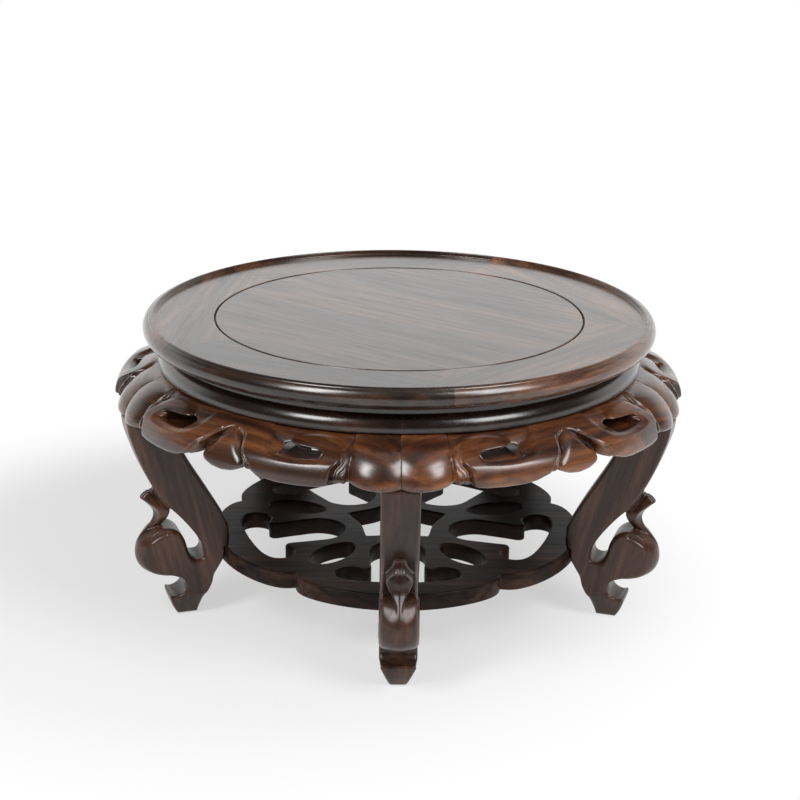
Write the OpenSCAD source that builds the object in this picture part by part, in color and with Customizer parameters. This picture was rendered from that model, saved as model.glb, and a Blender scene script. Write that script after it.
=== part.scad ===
// Round hardwood display stand: a framed top, a waist, carved aprons, five scrolled legs and a pierced tray.
// Millimetres, +Z up. The origin is on the stand's axis at the floor, and the first leg faces -Y.

/* [Top] */
// Outer diameter of the top, over the bead of the frame
top_d = 240; // [228:1:270]
// Radius of the bead round the frame's edge
bead_r = 4.8; // [4.4:0.1:5.6]
// How far the bead hangs below the frame's underside
bead_drop = 0.5; // [0.2:0.1:0.8]
// Thickness of the flat part of the frame
frame_t = 7; // [6.6:0.1:8]
// Diameter of the floating centre panel
panel_d = 172.4; // [150:0.2:178]
// Thickness of the centre panel
panel_t = 5.6; // [5:0.1:6.4]
// Shadow gap between the panel and the frame
panel_gap = 0.8; // [0.4:0.1:1.5]
// Length of the tongue round the panel
tongue_l = 4; // [2.5:0.1:5]
// Thickness of the tongue round the panel
tongue_t = 2.2; // [1.6:0.1:2.4]
// Azimuth of the first frame joint, from the front leg
frame_joint_az = 10.5; // [4:0.5:30]

/* [Battens] */
// Width of a batten
batten_w = 12; // [9:0.5:16]
// Height of a batten below the panel
batten_h = 6.5; // [5:0.1:8]
// Distance of a batten from the axis
batten_y = 36; // [28:0.5:45]
// Length of a batten's lap under the frame
batten_lap = 5; // [3:0.1:7]
// Height of the dovetail in the panel
dovetail_h = 1.8; // [1.2:0.1:2.4]
// How much wider the dovetail is at its top, on each side
dovetail_flare = 0.8; // [0.4:0.1:1.2]

/* [Frame splines] */
// Length of a spline across a frame joint
spline_l = 14; // [10:0.5:20]
// Width of a spline, along the radius
spline_w = 12; // [8:0.5:14]
// Thickness of a spline
spline_t = 2.4; // [1.8:0.1:2.8]
// Radius of a spline's middle
spline_r = 102; // [100:0.5:106]

/* [Waist] */
// Height of the recessed neck
neck_h = 4.6; // [3:0.1:7]
// Diameter of the recessed neck
neck_d = 216; // [212:0.5:218]
// Inner diameter of the waist
waist_in_d = 200; // [196:0.5:203]
// Height of the moulding under the neck
torus_h = 7.5; // [7.2:0.1:9]
// Radius of the moulding's half-round
torus_bead_r = 3.5; // [3:0.1:3.55]
// Outer diameter of the moulding
torus_d = 224; // [220:0.5:226]
// Radius at the middle of the tongues above and below the waist
waist_tongue_r = 104; // [103.5:0.1:104.5]
// Width of those tongues
waist_tongue_w = 3; // [2:0.1:3.4]
// Height of those tongues
waist_tongue_h = 1.5; // [1:0.1:1.8]

/* [Aprons] */
// Height of the aprons above the legs' shoulders
apron_h = 18.5; // [16:0.1:24]
// Radius of the aprons' front at their top
apron_top_r = 108; // [107:0.1:109]
// Radius of the knees at the shoulders
knee_r = 130.8; // [128:0.1:137]
// How far each lobe of a knee swells beside the mitre
lobe_swell = 1; // [0.2:0.1:2]
// How far a knee falls back from the mitre to the ends of its lobes
knee_fall = 3; // [1:0.1:4]
// Height over which a knee rounds back to the apron's top
knee_rise = 17; // [14:0.1:18]
// Radius of the apron's ground between the carvings
ground_r = 127; // [124:0.1:129]
// Radius of the aprons' back at the shoulders
apron_back_r = 111; // [110:0.1:112]
// How far the scrolls stand out from the ground
relief = 5.5; // [3:0.1:6.5]
// How far the buds stand out from the ground
bud_relief = 2.4; // [1:0.1:5]
// Half width of the scroll's stem
scroll_half_w = 4.6; // [3.6:0.1:5.2]
// Half width of the hook that curls back over each scroll
hook_half_w = 2.2; // [1.4:0.1:2.8]

/* [Legs] */
// Height of the legs' shoulders above the floor
leg_h = 98; // [84:0.5:130]
// Thickness of a leg, across its side
leg_w = 18; // [15:0.1:19.5]
// Thickness of the bulb at the foot
bulb_w = 17; // [13:0.1:18]
// Thickness of the leaf above the bulb
leaf_w = 11; // [8:0.1:13]
// Width of a sole, across the foot
sole_w = 8; // [6:0.1:12]
// Height at which the foot starts to narrow
foot_h = 10; // [8:0.5:20]
// Width of the tenon on top of a leg
leg_tenon_w = 9; // [6:0.1:11]
// Depth of that tenon, along the radius
leg_tenon_l = 7; // [5:0.1:8]
// Height of that tenon
leg_tenon_h = 12; // [8:0.1:12.5]
// Distance of that tenon's middle behind the leg's face
leg_tenon_in = 13.6; // [12.6:0.1:14.6]

/* [Tray] */
// Height of the tray's underside above the floor
tray_z = 25; // [20:0.5:34]
// Thickness of the tray
tray_t = 8; // [6:0.1:10]
// Radius of the tray's lobes, where they enter the legs
tray_r = 88.6; // [84:0.1:94]
// Fall of a lobe's edge towards its ends
lobe_fall = 4; // [2:0.1:6]
// Depth of the notch between two lobes, past that fall
lobe_notch = 5; // [3:0.1:8]
// Width of a tray tenon
tray_tenon_w = 7; // [5:0.1:9]
// Thickness of a tray tenon
tray_tenon_t = 3.2; // [2:0.1:4]
// Length of a tray tenon
tray_tenon_l = 4; // [2.5:0.1:4.5]
// Radius of the centre hole at the legs
centre_r = 18; // [14:0.1:20]
// Radius of the centre hole at its five points
centre_point_r = 24.5; // [21:0.1:27]

/* [Fits] */
// Gap left between a tongue, tenon or spline and its slot
fit_gap = 0.1; // [0.05:0.01:0.2]

/* [Hidden] */
$fn = 96;
sides = 5;
pitch = 360 / sides;
half_pitch = pitch / 2;
past = 1;

rim_r = top_d / 2;
panel_r = panel_d / 2;
frame_in_r = panel_r + panel_gap;
neck_r = neck_d / 2;
waist_in_r = waist_in_d / 2;
torus_r = torus_d / 2;

z_waist = leg_h + apron_h;
z_neck = z_waist + torus_h;
z_frame = z_neck + neck_h;
z_top = z_frame + frame_t;
z_panel = z_top - panel_t;
z_tongue = z_panel + (panel_t - tongue_t) / 3;
z_spline = z_frame + waist_tongue_h + (frame_t - waist_tongue_h - spline_t) / 2;
tray_mid = tray_z + tray_t / 2;

frame_color = "#2b1a14";
panel_color = "#241813";
waist_color = "#2a1812";
apron_color = "#4a2817";
leg_color = "#311c14";
tray_color = "#221712";

// Height at which the apron's carving was drawn
drawn_apron_h = 18.5;

// Angle between the points of a round front
round_step = 15;

function mix(a, b, f) = a + (b - a) * f;

// Smooth curve through the given points, which keeps its first and last point
function bend(p0, p1, p2, p3, f) =
    0.5 * (2 * p1 + (p2 - p0) * f + (2 * p0 - 5 * p1 + 4 * p2 - p3) * f * f
        + (3 * p1 - p0 - 3 * p2 + p3) * f * f * f);
function curve(p, steps) = [
    for (i = [0:len(p) - 2]) for (s = [0:steps - 1])
        bend(p[max(i - 1, 0)], p[i], p[i + 1], p[min(i + 2, len(p) - 1)], s / steps),
    p[len(p) - 1]
];
function ring_curve(p, steps) = let (n = len(p)) [
    for (i = [0:n - 1]) for (s = [0:steps - 1])
        bend(p[(i + n - 1) % n], p[i], p[(i + 1) % n], p[(i + 2) % n], s / steps)
];
// Closed outline from one half that starts and ends on the radius
function both_halves(p) = concat(p, [for (i = [len(p) - 2:-1:1]) [p[i].x, -p[i].y]]);

// Turns a shape drawn along +X to an azimuth counted from the front leg
module at(az) rotate([0, 0, az - 90]) children();
module sector(az, span) at(az) rotate_extrude(angle = span) children();
// Upright slab from an outline drawn in radius and height
module slab(outline, w) rotate([90, 0, 0]) linear_extrude(w, center = true) polygon(outline);

// Top

module frame_section() difference() {
    union() {
        translate([frame_in_r, z_frame]) square([rim_r - bead_r - frame_in_r, frame_t]);
        translate([rim_r - bead_r, z_frame - bead_drop + bead_r]) circle(bead_r);
    }
    translate([frame_in_r - past, z_tongue - fit_gap])
        square([past + tongue_l, tongue_t + 2 * fit_gap]);
    waist_tongue_section(z_frame, fit_gap);
}

module waist_tongue_section(z, gap)
    translate([waist_tongue_r - waist_tongue_w / 2 - gap, z - past])
        square([waist_tongue_w + 2 * gap, past + waist_tongue_h + gap]);

module spline(az, gap)
    at(az) translate([spline_r, 0, z_spline + spline_t / 2])
        cube([spline_w, spline_l, spline_t] + 2 * gap * [1, 1, 1], center = true);

module batten(side, gap) {
    end_r = frame_in_r + batten_lap + gap;
    half_l = sqrt(pow(end_r, 2) - pow(batten_y + batten_w / 2, 2));
    half_w = batten_w / 2 + gap;
    translate([0, side * batten_y, 0]) {
        translate([-half_l, -half_w, z_panel - batten_h])
            cube([2 * half_l, 2 * half_w, batten_h + gap]);
        dovetail_l = sqrt(pow(panel_r, 2) - pow(batten_y + batten_w / 2, 2)) - dovetail_flare;
        foot = half_w - 2 * dovetail_flare;
        translate([-dovetail_l, 0, z_panel]) rotate([90, 0, 90]) linear_extrude(2 * dovetail_l)
            polygon([[-foot, -past], [foot, -past], [foot, 0], [foot + dovetail_flare, dovetail_h + gap],
                [-foot - dovetail_flare, dovetail_h + gap], [-foot, 0]]);
    }
}

module top_frame(k) {
    start = frame_joint_az + k * pitch;
    color(frame_color) difference() {
        sector(start, pitch) frame_section();
        for (end = [0, 1]) spline(start + end * pitch, fit_gap);
        for (side = [-1, 1]) batten(side, fit_gap);
    }
}

module frame_splines() color(frame_color) for (k = [0:sides - 1]) spline(frame_joint_az + k * pitch, 0);

module centre_panel() color(panel_color) difference() {
    union() {
        translate([0, 0, z_panel]) cylinder(r = panel_r, h = panel_t);
        translate([0, 0, z_tongue]) cylinder(r = panel_r + tongue_l, h = tongue_t);
    }
    for (side = [-1, 1]) batten(side, fit_gap);
}

module panel_batten(side) color(panel_color) batten(side, 0);

// Waist

module waist(k) color(waist_color) sector(k * pitch, pitch) difference() {
    union() {
        translate([waist_in_r, z_waist]) square([neck_r - waist_in_r, torus_h + neck_h]);
        translate([torus_r - torus_bead_r, z_waist + torus_h / 2]) circle(torus_bead_r);
        waist_tongue_section(z_frame, 0);
    }
    waist_tongue_section(z_waist, fit_gap);
}

// Aprons, worked out by angle from the nearest leg and by height above the shoulders

mm_per_degree = ground_r * PI / 180;
carve = apron_h / drawn_apron_h;
// Flat seat of the leg, then the knee's lobe, the banded neck, the scroll and the bud
seat_t = 4.8;
lobe_t = 10.4;
band_t = 12.6;
bud_t = 30.2;
lobe_lift = 1;
band_lift = 1.2;
notch_lift = 4.6;
scroll_dip = 1.2;
bud_dip = 0.2;

// Middle line of the scroll's stem, from the band to the top of the bud, as [degrees, height]
stem = curve([[13, 4.3], [17, 3.7], [23, 3.5], [27, 5.6], [30, 9.4], [33.5, 13.6]], 4);
// Middle line of the hook, from the band over the opening to its tip
hook = curve([[12.6, 6], [12.6, 11], [14.6, 13.8], [18, 14.4], [21, 13.8]], 3);
// Opening that is pierced between the stem and the hook, and the angle at its middle
opening_t = 21;
opening = ring_curve([[15.2, 10.6], [16.6, 8.8], [20.5, 8.2], [24.6, 8.9], [26.8, 11.2], [27.4, 13.6],
    [25.8, 15], [22.8, 14], [20.6, 12.6], [17, 12.7]], 3);

function arch(f) = sqrt(max(0, 1 - f * f));
function lower_lift(t) =
    t < seat_t ? 0
    : t < lobe_t ? lobe_lift * pow((t - seat_t) / (lobe_t - seat_t), 2)
    : t < band_t ? band_lift
    : t < bud_t ? let (f = (t - band_t) / (bud_t - band_t), end = mix(band_lift, notch_lift, f))
        end - (end + scroll_dip) * pow(arch(pow(2 * f - 1, 2)), 0.8)
    : notch_lift - (notch_lift + bud_dip) * arch((half_pitch - t) / (half_pitch - bud_t));
function lower_z(t) = leg_h + carve * lower_lift(t);

function bulge(z, reach, rise) =
    apron_top_r + (reach - apron_top_r) * arch(max(0, z - leg_h) / rise);
function line_gap(line, p) = min([
    for (i = [0:len(line) - 2])
        let (a = to_mm(line[i]), b = to_mm(line[i + 1]), f = (p - a) * (b - a) / ((b - a) * (b - a)))
        norm(p - a - min(1, max(0, f)) * (b - a))
]);
function to_mm(q) = [q.x * mm_per_degree, q.y * carve];
function bud_rise(t, v) =
    let (top = 14.8, wide = 4.4, half = half_pitch - bud_t)
    v > top ? 0 : arch((half_pitch - t) / half / (v > wide ? (top - v) / (top - wide) : 1));
function front_r(t, z) =
    let (v = (z - leg_h) / carve)
    t < lobe_t ? bulge(z, knee_r + lobe_swell * sin(180 * t / lobe_t) - knee_fall * pow(t / lobe_t, 2),
        knee_rise * carve)
    : bulge(z, ground_r, apron_h) + max(relief * arch(line_gap(stem, to_mm([t, v])) / scroll_half_w),
        relief * arch(line_gap(hook, to_mm([t, v])) / hook_half_w), bud_relief * bud_rise(t, v));

// The body is worked out in columns that run past both mitres, where it is cut off after its mortises
rows = 13;
column_step = 1.2;
overrun = 3.5 * column_step;
columns = [for (t = [-overrun:column_step:half_pitch - column_step / 2]) t, half_pitch];
function back_r(z) = mix(waist_in_r, apron_back_r, (z_waist - z) / apron_h);
function apron_column(t) =
    let (low = lower_z(t), in = waist_tongue_r - waist_tongue_w / 2, out = in + waist_tongue_w)
    concat(
        [for (i = [0:rows]) let (z = mix(low, z_waist, i / rows)) [front_r(t, z), z]],
        [[out, z_waist], [out, z_waist + waist_tongue_h], [in, z_waist + waist_tongue_h], [in, z_waist]],
        [[waist_in_r, z_waist], [back_r(low), low]]
    );

module apron_body() {
    angles = concat(columns, [for (i = [len(columns) - 2:-1:0]) pitch - columns[i]]);
    rings = [for (a = angles) apron_column(abs(min(a, pitch - a)))];
    n = len(rings[0]);
    last = (len(angles) - 1) * n;
    points = [
        for (i = [0:len(angles) - 1]) let (a = angles[i] - half_pitch)
            for (p = rings[i]) [p.x * cos(a), p.x * sin(a), p.y]
    ];
    sides_of_ring = [
        for (i = [0:len(angles) - 2]) for (j = [0:n - 1])
            let (a = i * n + j, b = i * n + (j + 1) % n)
            each [[a, b, b + n], [a, b + n, a + n]]
    ];
    polyhedron(points, concat(sides_of_ring,
        [[for (j = [n - 1:-1:0]) j]], [[for (j = [0:n - 1]) last + j]]), convexity = 8);
}

// Pierced on the left (-1) or the right (1) of the apron's middle
module apron_opening(side)
    rotate([0, 0, side * (half_pitch - opening_t)])
        translate([apron_back_r - 2 * relief, 0, leg_h])
            rotate([90, 0, 90]) linear_extrude(knee_r - apron_back_r + 3 * relief)
                polygon([for (p = opening) [side * (opening_t - p.x) * mm_per_degree, p.y * carve]]);

module past_mitre(side) {
    waste = 2 * overrun * mm_per_degree;
    translate([waist_in_r - past, side > 0 ? 0 : -waste, leg_h - apron_h])
        cube([knee_r + lobe_swell - waist_in_r + 2 * past, waste, 3 * apron_h]);
}

module apron(k) color(apron_color) at((k + 0.5) * pitch) difference() {
    apron_body();
    for (side = [-1, 1]) {
        apron_opening(side);
        rotate([0, 0, side * half_pitch]) leg_tenon(fit_gap);
    }
    for (side = [-1, 1]) rotate([0, 0, side * half_pitch]) past_mitre(side);
}

// Legs

// Stem of the leg: its inner side from the sole up, then its outer side down to the toe
leg_inner = [[102, 0], [101, 2.6], [98.6, 6], [97.6, 9], [94.8, 11.6], [93, 15.5], [92, 19.5], [89.6, 23.5],
    [87, 28], [85.2, 33], [84.4, 38], [84.8, 43], [86.8, 48.5], [91, 56.5], [95.6, 64.5], [100.3, 72.5],
    [104.6, 80.5], [108.3, 89], [111.5, 98]];
leg_outer = [[130.6, 98], [129.6, 91], [125.6, 79], [121.8, 70], [117.6, 62], [113.6, 56.4], [108.6, 51.2],
    [104.6, 46.4], [101.2, 41.8], [98.4, 37.2], [96.4, 33], [96, 30.2], [97.4, 28.2], [100, 27.8],
    [103, 28], [106.4, 24], [107.2, 19.8], [105.6, 17.8], [105.2, 15.4], [106.2, 13.2], [108.6, 11.9],
    [112, 11.7], [114.2, 12.6]];
toe = [[114.8, 11.2], [114.2, 8.6], [112, 4.4], [108.8, 0]];
leaf_tip = [124.6, 58.6];
leaf = concat(curve([[115.6, 66], [119, 62.6], [122.4, 60.8], leaf_tip], 3),
    curve([[122, 56], [119.6, 53.4], [118.5, 50.4], [119.1, 47.4], [120.7, 43.6], [121.5, 40]], 3),
    curve([[115.4, 40], [116, 45], [114.6, 49.6], [113.6, 54], [113.4, 59]], 3));
bulb_tip = [127.4, 33];
bulb = ring_curve([[100, 25], [102.8, 29.6], [104.2, 33.4], [105.3, 37.8], [107.4, 41.6], [110.6, 43.8],
    [115, 44.6], [119.6, 44], [123.6, 41.8], [126.2, 37.8], bulb_tip, [127.2, 29], [125.6, 25.4],
    [122.4, 22.8], [117.4, 21.5], [112, 20.9], [107.6, 19.6], [103, 20]], 3);
// Sizes of the stand that the outlines were drawn for
drawn_leg_h = leg_outer[0].y;
drawn_knee_r = leg_outer[0].x;
drawn_tray_mid = 29;
drawn_tray_r = 88.6;

// Outlines fitted to this stand's height, knees and tray
function leg_z(z) = z < drawn_tray_mid ? z * tray_mid / drawn_tray_mid
    : mix(tray_mid, leg_h, (z - drawn_tray_mid) / (drawn_leg_h - drawn_tray_mid));
function leg_r(r, z) = r + (z < drawn_tray_mid ? tray_r - drawn_tray_r
    : mix(tray_r - drawn_tray_r, knee_r - drawn_knee_r,
        (z - drawn_tray_mid) / (drawn_leg_h - drawn_tray_mid)));
function on_leg(p) = [for (q = p) [leg_r(q.x, q.y), leg_z(q.y)]];

module leg_tenon(gap)
    translate([knee_r - leg_tenon_in - leg_tenon_l / 2 - gap, -leg_tenon_w / 2 - gap, leg_h - past])
        cube([leg_tenon_l + 2 * gap, leg_tenon_w + 2 * gap, past + leg_tenon_h + gap]);

module leg_front() {
    top = leg_h + leg_tenon_h + past;
    rotate([90, 0, 90]) linear_extrude(knee_r + past) polygon([
        [-sole_w / 2, 0], [sole_w / 2, 0], [leg_w / 2, foot_h], [leg_w / 2, top],
        [-leg_w / 2, top], [-leg_w / 2, foot_h]
    ]);
}

// Slab on the leg whose front is round in plan, as far out as the given tip
module rounded_slab(outline, w, tip) intersection() {
    slab(on_leg(outline), w);
    front = leg_r(tip.x, tip.y) - w / 2;
    linear_extrude(leg_h) polygon(concat([[0, -w / 2 - past], [0, w / 2 + past]],
        [for (a = [90:-round_step:-90]) [front, 0] + w / 2 * [cos(a), sin(a)]]));
}

module leg(k) color(leg_color) at(k * pitch) difference() {
    union() {
        intersection() {
            slab(on_leg(concat(curve(leg_inner, 3), curve(leg_outer, 3), curve(toe, 2))), leg_w);
            leg_front();
        }
        rounded_slab(leaf, leaf_w, leaf_tip);
        rounded_slab(bulb, bulb_w, bulb_tip);
        leg_tenon(0);
    }
    translate([0, -leg_w, tray_z - fit_gap]) cube([tray_r + fit_gap, 2 * leg_w, tray_t + 2 * fit_gap]);
    tray_tenon(fit_gap);
}

// Tray

// Half of the hole in each lobe, from its point outward, as [along the radius, across it]
lobe_hole = [[26.3, 0], [28, 5.5], [31.6, 10], [37, 12.8], [45, 12.6], [53, 12.2], [58.6, 12], [61.8, 13.4],
    [60, 16.4], [57.2, 20], [58.2, 24.6], [62, 28], [66, 29.2], [70, 28.2], [73.2, 23.5], [75.6, 13.5],
    [76.4, 0]];
// Half of the leaf-shaped hole between two lobes
leaf_hole = [[37.5, 0], [43, 4.4], [49, 7.2], [54.5, 7.6], [60, 6], [64, 3], [66, 0]];
lobe_angles = [-36, -35.4, -34.5, -33, -31, -28, -24, -18, -12, -6, 0, 6, 12, 18, 24, 28, 31, 33, 34.5, 35.4];

module tray_tenon(gap)
    translate([tray_r - past, -tray_tenon_w / 2 - gap, tray_mid - tray_tenon_t / 2 - gap])
        cube([past + tray_tenon_l + gap, tray_tenon_w + 2 * gap, tray_tenon_t + 2 * gap]);

module tray_plan() {
    draw = tray_r / drawn_tray_r;
    difference() {
        polygon([for (k = [0:sides - 1]) for (a = lobe_angles)
            let (f = a / half_pitch, r = tray_r - lobe_fall * pow(f, 2) - lobe_notch * pow(f, 12))
            r * [cos(a + k * pitch), sin(a + k * pitch)]]);
        polygon([for (k = [0:sides - 1]) for (a = [-half_pitch:6:half_pitch - 6])
            let (r = mix(centre_r, centre_point_r, pow(a / half_pitch, 2)))
            r * [cos(a + k * pitch), sin(a + k * pitch)]]);
        for (k = [0:sides - 1]) {
            rotate(k * pitch) polygon(draw * both_halves(curve(lobe_hole, 3)));
            rotate((k + 0.5) * pitch) polygon(draw * both_halves(curve(leaf_hole, 3)));
        }
    }
}

module tray() color(tray_color) at(0) {
    translate([0, 0, tray_z]) linear_extrude(tray_t) tray_plan();
    for (k = [0:sides - 1]) rotate([0, 0, k * pitch]) tray_tenon(0);
}

centre_panel();
for (i = [0, 1]) panel_batten(2 * i - 1);
frame_splines();
for (k = [0:sides - 1]) {
    top_frame(k);
    waist(k);
    apron(k);
    leg(k);
}
tray();
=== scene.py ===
# Looks of a round Chinese hardwood display stand: carved pieces, wood finish, light and camera.
# Shapes are worked out in millimetres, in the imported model's frame, and become meshes in metres.
import math

import bmesh
import bpy
import numpy as np
from mathutils import Matrix, Vector


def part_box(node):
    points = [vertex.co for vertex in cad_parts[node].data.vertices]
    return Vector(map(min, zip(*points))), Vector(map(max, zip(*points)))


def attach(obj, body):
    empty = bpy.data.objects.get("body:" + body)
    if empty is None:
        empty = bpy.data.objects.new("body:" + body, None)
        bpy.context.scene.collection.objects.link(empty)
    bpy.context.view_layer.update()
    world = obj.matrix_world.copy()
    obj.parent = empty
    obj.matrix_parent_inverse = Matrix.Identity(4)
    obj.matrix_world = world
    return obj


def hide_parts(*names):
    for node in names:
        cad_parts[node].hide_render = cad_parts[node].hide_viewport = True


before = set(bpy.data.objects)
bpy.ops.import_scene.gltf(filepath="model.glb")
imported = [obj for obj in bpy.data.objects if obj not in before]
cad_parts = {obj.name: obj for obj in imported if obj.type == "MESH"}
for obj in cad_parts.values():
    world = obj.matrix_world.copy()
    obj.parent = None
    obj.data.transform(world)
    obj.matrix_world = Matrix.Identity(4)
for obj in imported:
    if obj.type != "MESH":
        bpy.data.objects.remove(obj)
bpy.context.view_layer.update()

MM = 0.001
SIDES = 5
PITCH = 360 / SIDES
HALF_PITCH = PITCH / 2


def heights(node):
    """Lowest and highest point of a CAD node, in millimetres."""
    low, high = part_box(node)
    return low[2] / MM, high[2] / MM


# Heights read from the frame
Z_WAIST = heights("waist_1")[0]
Z_PANEL, Z_TOP = heights("centre_panel")
Z_RIM_TOP = heights("top_frame_1")[1]
Z_TRAY, Z_TRAY_TOP = heights("tray")

# Driving sizes of the top; angles are in degrees
RIM_R = 118.5
BEAD_R = 4.8
BEAD_UNDERCUT = 1.2
LIP_W = 5.0
LIP_EDGE = 0.4
QUIRK_ANGLE = 60.0
QUIRK_SPREAD = 3.2
QUIRK_DEPTH = 0.25
PANEL_R = 85.0
PANEL_GAP = 0.8
PANEL_EDGE = 0.5
FRAME_T = 7.0
FRAME_JOINT_AZ = 10.5
Z_FRAME = Z_TOP - FRAME_T

# Driving sizes of the waist's moulding and neck
MOULD_R = 112.0
MOULD_H = 7.5
MOULD_EASE = 0.8
OVOLO_R = 6.9
OVOLO_START = -10
OVOLO_END = 65
NECK_R = 108.0
NECK_EASE = 0.3
NECK_SUPPORT = 0.8
NECK_FLARE = 0.5
WAIST_IN_R = 100.0
Z_NECK = Z_WAIST + MOULD_H

# Driving sizes of the aprons, the legs and the tray
LEG_H = 98.0
APRON_TOP_R = 108.0
APRON_BACK_R = 111.0
ENVELOPE_R = 132.3
GROUND_R = 125.0
KNEE_R = 130.8
LEG_W = 16.8
BULB_W = 17.4
SOLE_W = 8.0
FOOT_H = 11.0
TRAY_R = 87.4


# Curves and fields

def bend(p0, p1, p2, p3, f):
    """Point of a smooth curve between p1 and p2."""
    return 0.5 * (2 * p1 + (p2 - p0) * f + (2 * p0 - 5 * p1 + 4 * p2 - p3) * f ** 2
                  + (3 * p1 - p0 - 3 * p2 + p3) * f ** 3)


def curve(points, steps=4):
    """Smooth open curve through the points."""
    p = [np.array(q, float) for q in points]
    last = len(p) - 1
    line = [bend(p[max(i - 1, 0)], p[i], p[i + 1], p[min(i + 2, last)], s / steps)
            for i in range(last) for s in range(steps)]
    return line + [p[last]]


def ring_curve(points, steps=4):
    """Smooth closed curve through the points."""
    p = [np.array(q, float) for q in points]
    n = len(p)
    return [bend(p[i - 1], p[i], p[(i + 1) % n], p[(i + 2) % n], s / steps)
            for i in range(n) for s in range(steps)]


def arc(x, y, radius, start, end, steps=4):
    """Points of an arc, with its angles in degrees."""
    angles = np.radians(np.linspace(start, end, steps + 1))
    return [(x + radius * math.cos(a), y + radius * math.sin(a)) for a in angles]


def smoothstep(x, low, high):
    """Smooth change from 0 to 1 while x goes from low to high."""
    f = np.clip((x - low) / (high - low), 0, 1)
    return f * f * (3 - 2 * f)


def blend_min(a, b, k):
    """Smaller of two fields, with a round joint of size k."""
    h = np.clip(0.5 + 0.5 * (b - a) / k, 0, 1)
    return b * (1 - h) + a * h - k * h * (1 - h)


def blend_max(a, b, k):
    """Larger of two fields, with a round joint of size k."""
    return -blend_min(-a, -b, k)


def groove(distance, width, depth):
    """Depth of a soft groove round the line where distance is zero."""
    return depth * np.exp(-(distance / width) ** 2)


def polygon_distance(outline, x, y):
    """Signed distance to a closed outline, negative inside."""
    best = np.full(x.shape, np.inf)
    inside = np.zeros(x.shape, bool)
    count = len(outline)
    for i in range(count):
        (ax, ay), (bx, by) = outline[i], outline[(i + 1) % count]
        dx, dy = bx - ax, by - ay
        span = dx * dx + dy * dy
        if span == 0:
            continue
        f = np.clip(((x - ax) * dx + (y - ay) * dy) / span, 0, 1)
        best = np.minimum(best, (x - ax - f * dx) ** 2 + (y - ay - f * dy) ** 2)
        if ay != by:
            inside ^= ((ay > y) != (by > y)) & (x < dx * (y - ay) / dy + ax)
    return np.where(inside, -1, 1) * np.sqrt(best)


def line_distance(line, x, y):
    """Distance to an open line."""
    best = np.full(x.shape, np.inf)
    for (ax, ay), (bx, by) in zip(line[:-1], line[1:]):
        dx, dy = bx - ax, by - ay
        f = np.clip(((x - ax) * dx + (y - ay) * dy) / (dx * dx + dy * dy), 0, 1)
        best = np.minimum(best, (x - ax - f * dx) ** 2 + (y - ay - f * dy) ** 2)
    return np.sqrt(best)


def soften(values, cells):
    """Blurs a map over about that many cells."""
    reach = int(3 * cells) + 1
    weights = np.exp(-0.5 * (np.arange(-reach, reach + 1) / cells) ** 2)
    weights /= weights.sum()
    for axis in range(values.ndim):
        padding = [(reach, reach) if a == axis else (0, 0) for a in range(values.ndim)]
        padded = np.pad(values, padding, mode="edge")
        length = values.shape[axis]
        values = sum(w * np.take(padded, range(i, i + length), axis) for i, w in enumerate(weights))
    return values


# Meshes

UNIT = np.eye(3, dtype=int)


def net_points(field, cells, corners):
    """Mean place, in cells, where the field changes sign on each cell's edges."""
    total = np.zeros((len(cells), 3))
    hits = np.zeros(len(cells))
    for axis, along in enumerate(UNIT):
        for c in corners:
            if c[axis]:
                continue
            start = cells + c
            a = field[tuple(start.T)]
            b = field[tuple((start + along).T)]
            crossing = (a < 0) != (b < 0)
            f = np.where(crossing, a / np.where(crossing, a - b, 1), 0)
            total += np.where(crossing[:, None], start + along * f[:, None], 0)
            hits += crossing
    return total, hits


def net_quads(inside, index, shape):
    """Quads round the grid's edges that cross the surface, facing outward."""
    quads = []
    for axis in range(3):
        p, q = UNIT[(axis + 1) % 3], UNIT[(axis + 2) % 3]
        low = np.take(inside, range(shape[axis]), axis)
        high = np.take(inside, range(1, shape[axis] + 1), axis)
        edges = np.argwhere(low != high)
        edges = edges[np.all((edges - p - q >= 0) & (edges < shape), axis=1)]
        quad = np.stack([index[tuple((edges - o).T)] for o in (p + q, q, 0 * p, p)], axis=1)
        outward = low[tuple(edges.T)]
        quads.append(np.where(outward[:, None], quad, quad[:, ::-1]))
    return np.concatenate(quads)


def surface_net(field, origin, step):
    """Points and quads of the surface where the field is zero. It is negative inside."""
    inside = field < 0
    shape = np.array(field.shape) - 1
    corners = [np.array(c) for c in np.ndindex(2, 2, 2)]
    count = sum(inside[tuple(slice(a, a + n) for a, n in zip(c, shape))].astype(np.int8) for c in corners)
    cells = np.argwhere((count > 0) & (count < len(corners)))
    total, hits = net_points(field, cells, corners)
    points = np.array(origin) + step * total / hits[:, None]
    index = np.full(shape, -1)
    index[tuple(cells.T)] = np.arange(len(cells))
    return points, net_quads(inside, index, shape)


def make_mesh(name, points, faces):
    """Smooth mesh in metres from points in millimetres."""
    mesh = bpy.data.meshes.new(name)
    mesh.from_pydata((np.asarray(points) * MM).tolist(), [], [list(map(int, f)) for f in faces])
    mesh.validate()
    mesh.polygons.foreach_set("use_smooth", [True] * len(mesh.polygons))
    mesh.update()
    return mesh


def thinned(mesh, ratio):
    """Same mesh with fewer faces where it is plain."""
    holder = bpy.data.objects.new("thinning", mesh)
    bpy.context.scene.collection.objects.link(holder)
    modifier = holder.modifiers.new("thin", "DECIMATE")
    modifier.ratio = ratio
    settled = holder.evaluated_get(bpy.context.evaluated_depsgraph_get())
    result = bpy.data.meshes.new_from_object(settled)
    result.name = mesh.name
    bpy.data.objects.remove(holder)
    return result


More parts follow.
